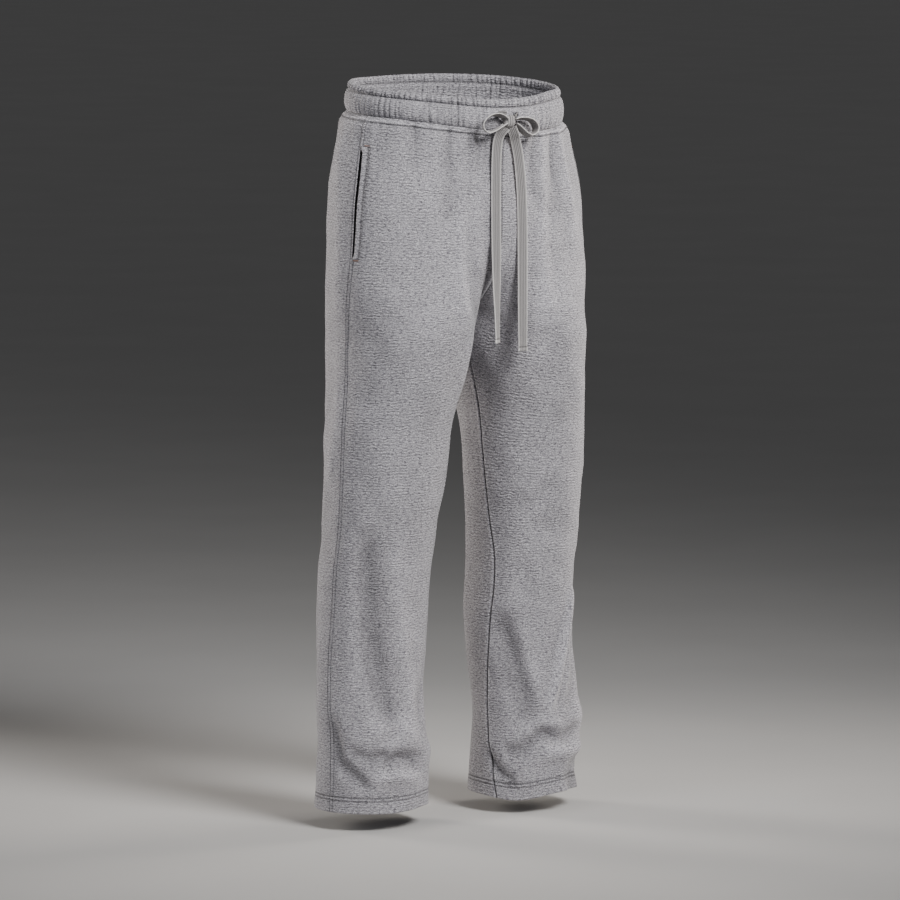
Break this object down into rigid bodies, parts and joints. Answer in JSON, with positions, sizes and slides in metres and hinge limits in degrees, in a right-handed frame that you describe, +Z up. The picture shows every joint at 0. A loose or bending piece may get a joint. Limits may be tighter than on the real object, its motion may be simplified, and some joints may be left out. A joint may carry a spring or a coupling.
{
  "type": "sweatpants",
  "caption": "Wide-leg fleece sweatpants, worn hollow, with a gathered elastic waistband, a flat drawstring tied in a bow, side seam pockets and open straight hems.",
  "frame": {"origin": "centre of the waistband's ring, half way up it", "axes": "+Z up the body, -Y to the wearer's front, -X to the wearer's right"},
  "size_m": [0.4342, 0.2817, 1.0559],
  "materials": {
    "fleece": "brushed grey marl fleece",
    "pocket_cloth": "plain grey knit",
    "tape": "ribbed flat woven tape",
    "eyelet_thread": "dark buttonhole stitch"
  },
  "bodies": {
    "root": {"front_right": "fleece", "front_left": "fleece", "back_right": "fleece", "back_left": "fleece", "waistband": "fleece", "pocket_welt_right": "fleece", "pocket_welt_left": "fleece", "pocket_bag_right": "pocket_cloth", "pocket_bag_left": "pocket_cloth", "eyelet_right": "eyelet_thread", "eyelet_left": "eyelet_thread", "drawstring_end_left": "tape", "drawstring_end_right": "tape", "drawstring_knot": "tape", "drawstring_lead_left": "tape", "drawstring_lead_right": "tape", "drawstring_loop_left": "tape", "drawstring_loop_right": "tape"}
  },
  "joints": []
}
